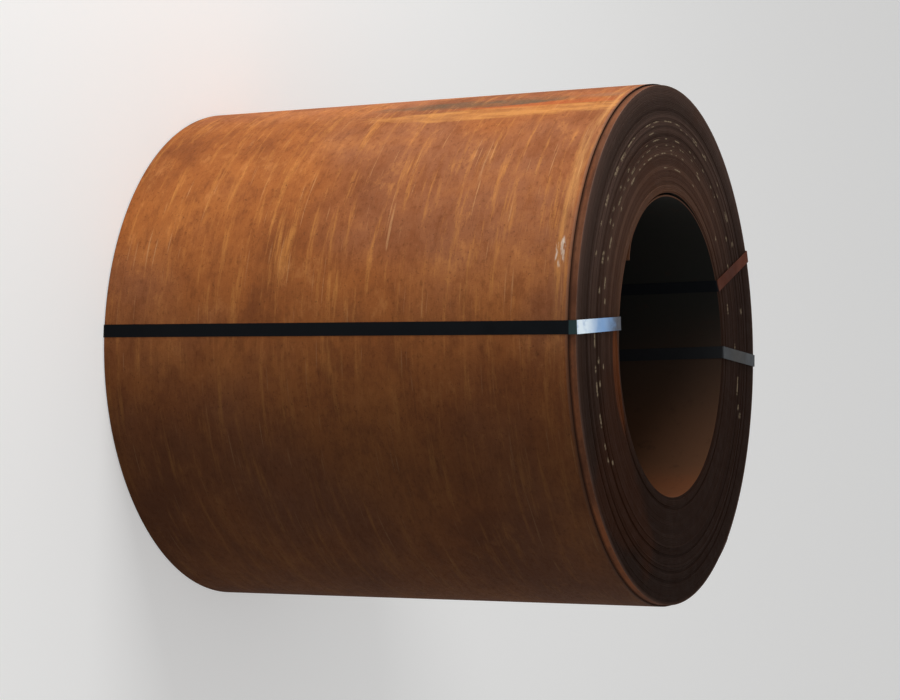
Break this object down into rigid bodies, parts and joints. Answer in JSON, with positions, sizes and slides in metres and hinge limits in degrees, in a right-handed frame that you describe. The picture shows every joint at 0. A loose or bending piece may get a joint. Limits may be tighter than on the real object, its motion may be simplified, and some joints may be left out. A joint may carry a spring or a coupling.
{
  "type": "steel coil",
  "caption": "Wound coil of rusted hot-rolled steel strip standing on its end, with a round bore and steel straps drawn through the bore",
  "frame": {"origin": "centre of the bore, halfway along the strip's width", "axes": "+Z along the bore from the back end, on which the coil stands, to the front end, where the last wrap is sunk; +X to the strap at 3 o'clock, as seen from the front end"},
  "size_m": [1.3154, 1.3105, 1.2728],
  "materials": {
    "rusted_strip": "hot-rolled steel with brown and orange rust",
    "zinc_strap": "bright zinc-coated strap",
    "rusted_strap": "red-brown rusted strap",
    "grey_strap": "dull grey strap"
  },
  "bodies": {
    "root": {"coil_body": "rusted_strip", "strap_left": "zinc_strap", "strap_upper_right": "rusted_strap", "strap_right": "grey_strap", "seal_left": "zinc_strap", "seal_upper_right": "rusted_strap", "seal_right": "grey_strap"}
  },
  "joints": []
}
